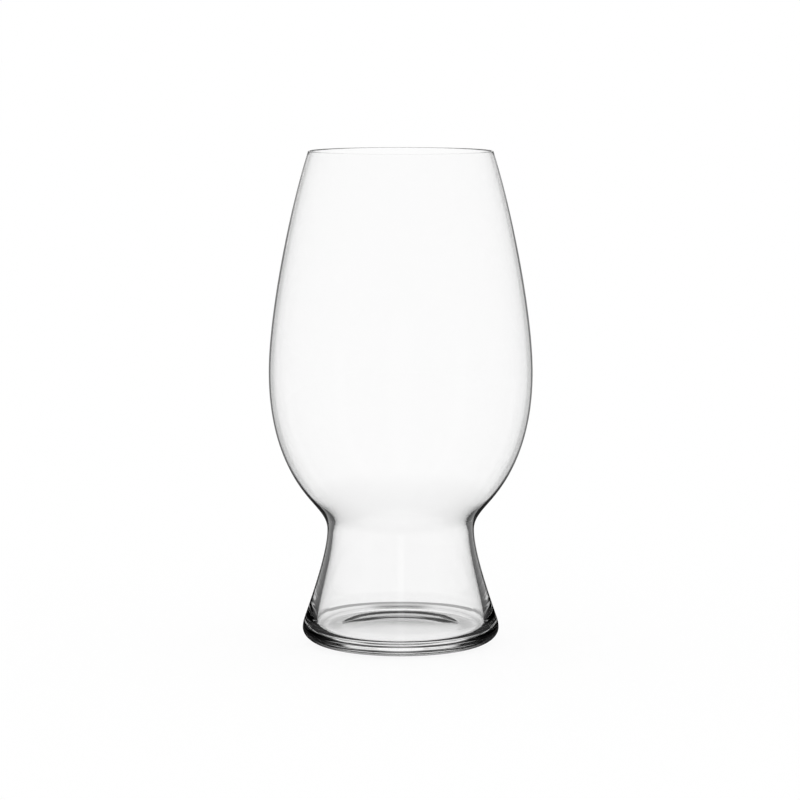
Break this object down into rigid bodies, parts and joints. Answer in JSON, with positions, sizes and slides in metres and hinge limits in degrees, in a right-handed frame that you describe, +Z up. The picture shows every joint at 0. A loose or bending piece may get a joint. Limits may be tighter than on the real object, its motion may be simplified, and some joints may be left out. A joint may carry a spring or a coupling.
{
  "type": "wheat beer glass",
  "caption": "Clear wheat beer glass: tall bowl that swells low and narrows to the mouth, on a hollow flared foot with a thick rounded base.",
  "frame": {"origin": "centre of the standing ring under the base, on the surface that the glass stands on", "axes": "+Z up along the axis of the glass; it is a turned shape, so X and Y are free"},
  "size_m": [0.094, 0.094, 0.176],
  "materials": {
    "bowl_glass": "clear blown glass, thin and fire polished",
    "foot_glass": "clear glass, thicker towards the base",
    "base_glass": "clear solid glass with a polished heel"
  },
  "bodies": {
    "root": {"bowl": "bowl_glass", "foot": "foot_glass", "base": "base_glass"}
  },
  "joints": []
}
